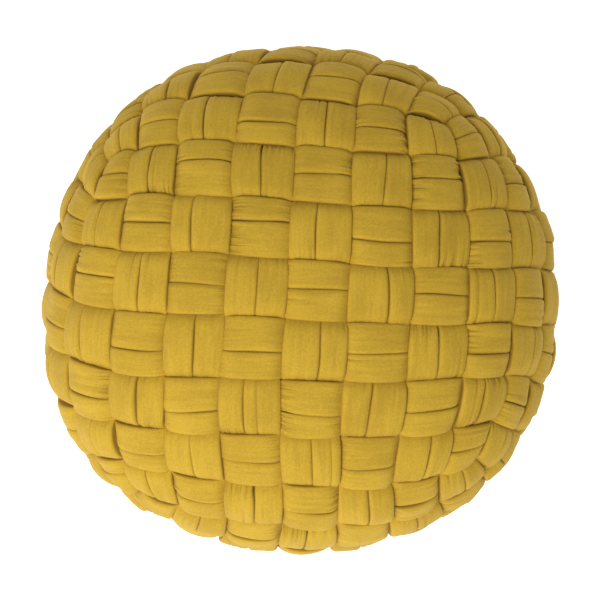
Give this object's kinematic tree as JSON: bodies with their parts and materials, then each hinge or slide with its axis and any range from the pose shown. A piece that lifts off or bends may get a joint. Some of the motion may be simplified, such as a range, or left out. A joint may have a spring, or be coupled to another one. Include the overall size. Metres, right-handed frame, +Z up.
{
  "type": "woven footstool",
  "caption": "Round soft footstool: a filled pouf covered in a one-over, one-under weave of wide paired jersey tubes, flat where it rests.",
  "frame": {"origin": "on the floor, under the middle of the stool", "axes": "+Z up through the crown; +X and +Y run close to the two directions of the bands on the crown"},
  "size_m": [0.5104, 0.5, 0.36],
  "materials": {
    "jersey": "soft matt cotton jersey, mustard yellow"
  },
  "bodies": {
    "root": {"woven_pouf": "jersey"}
  },
  "joints": []
}
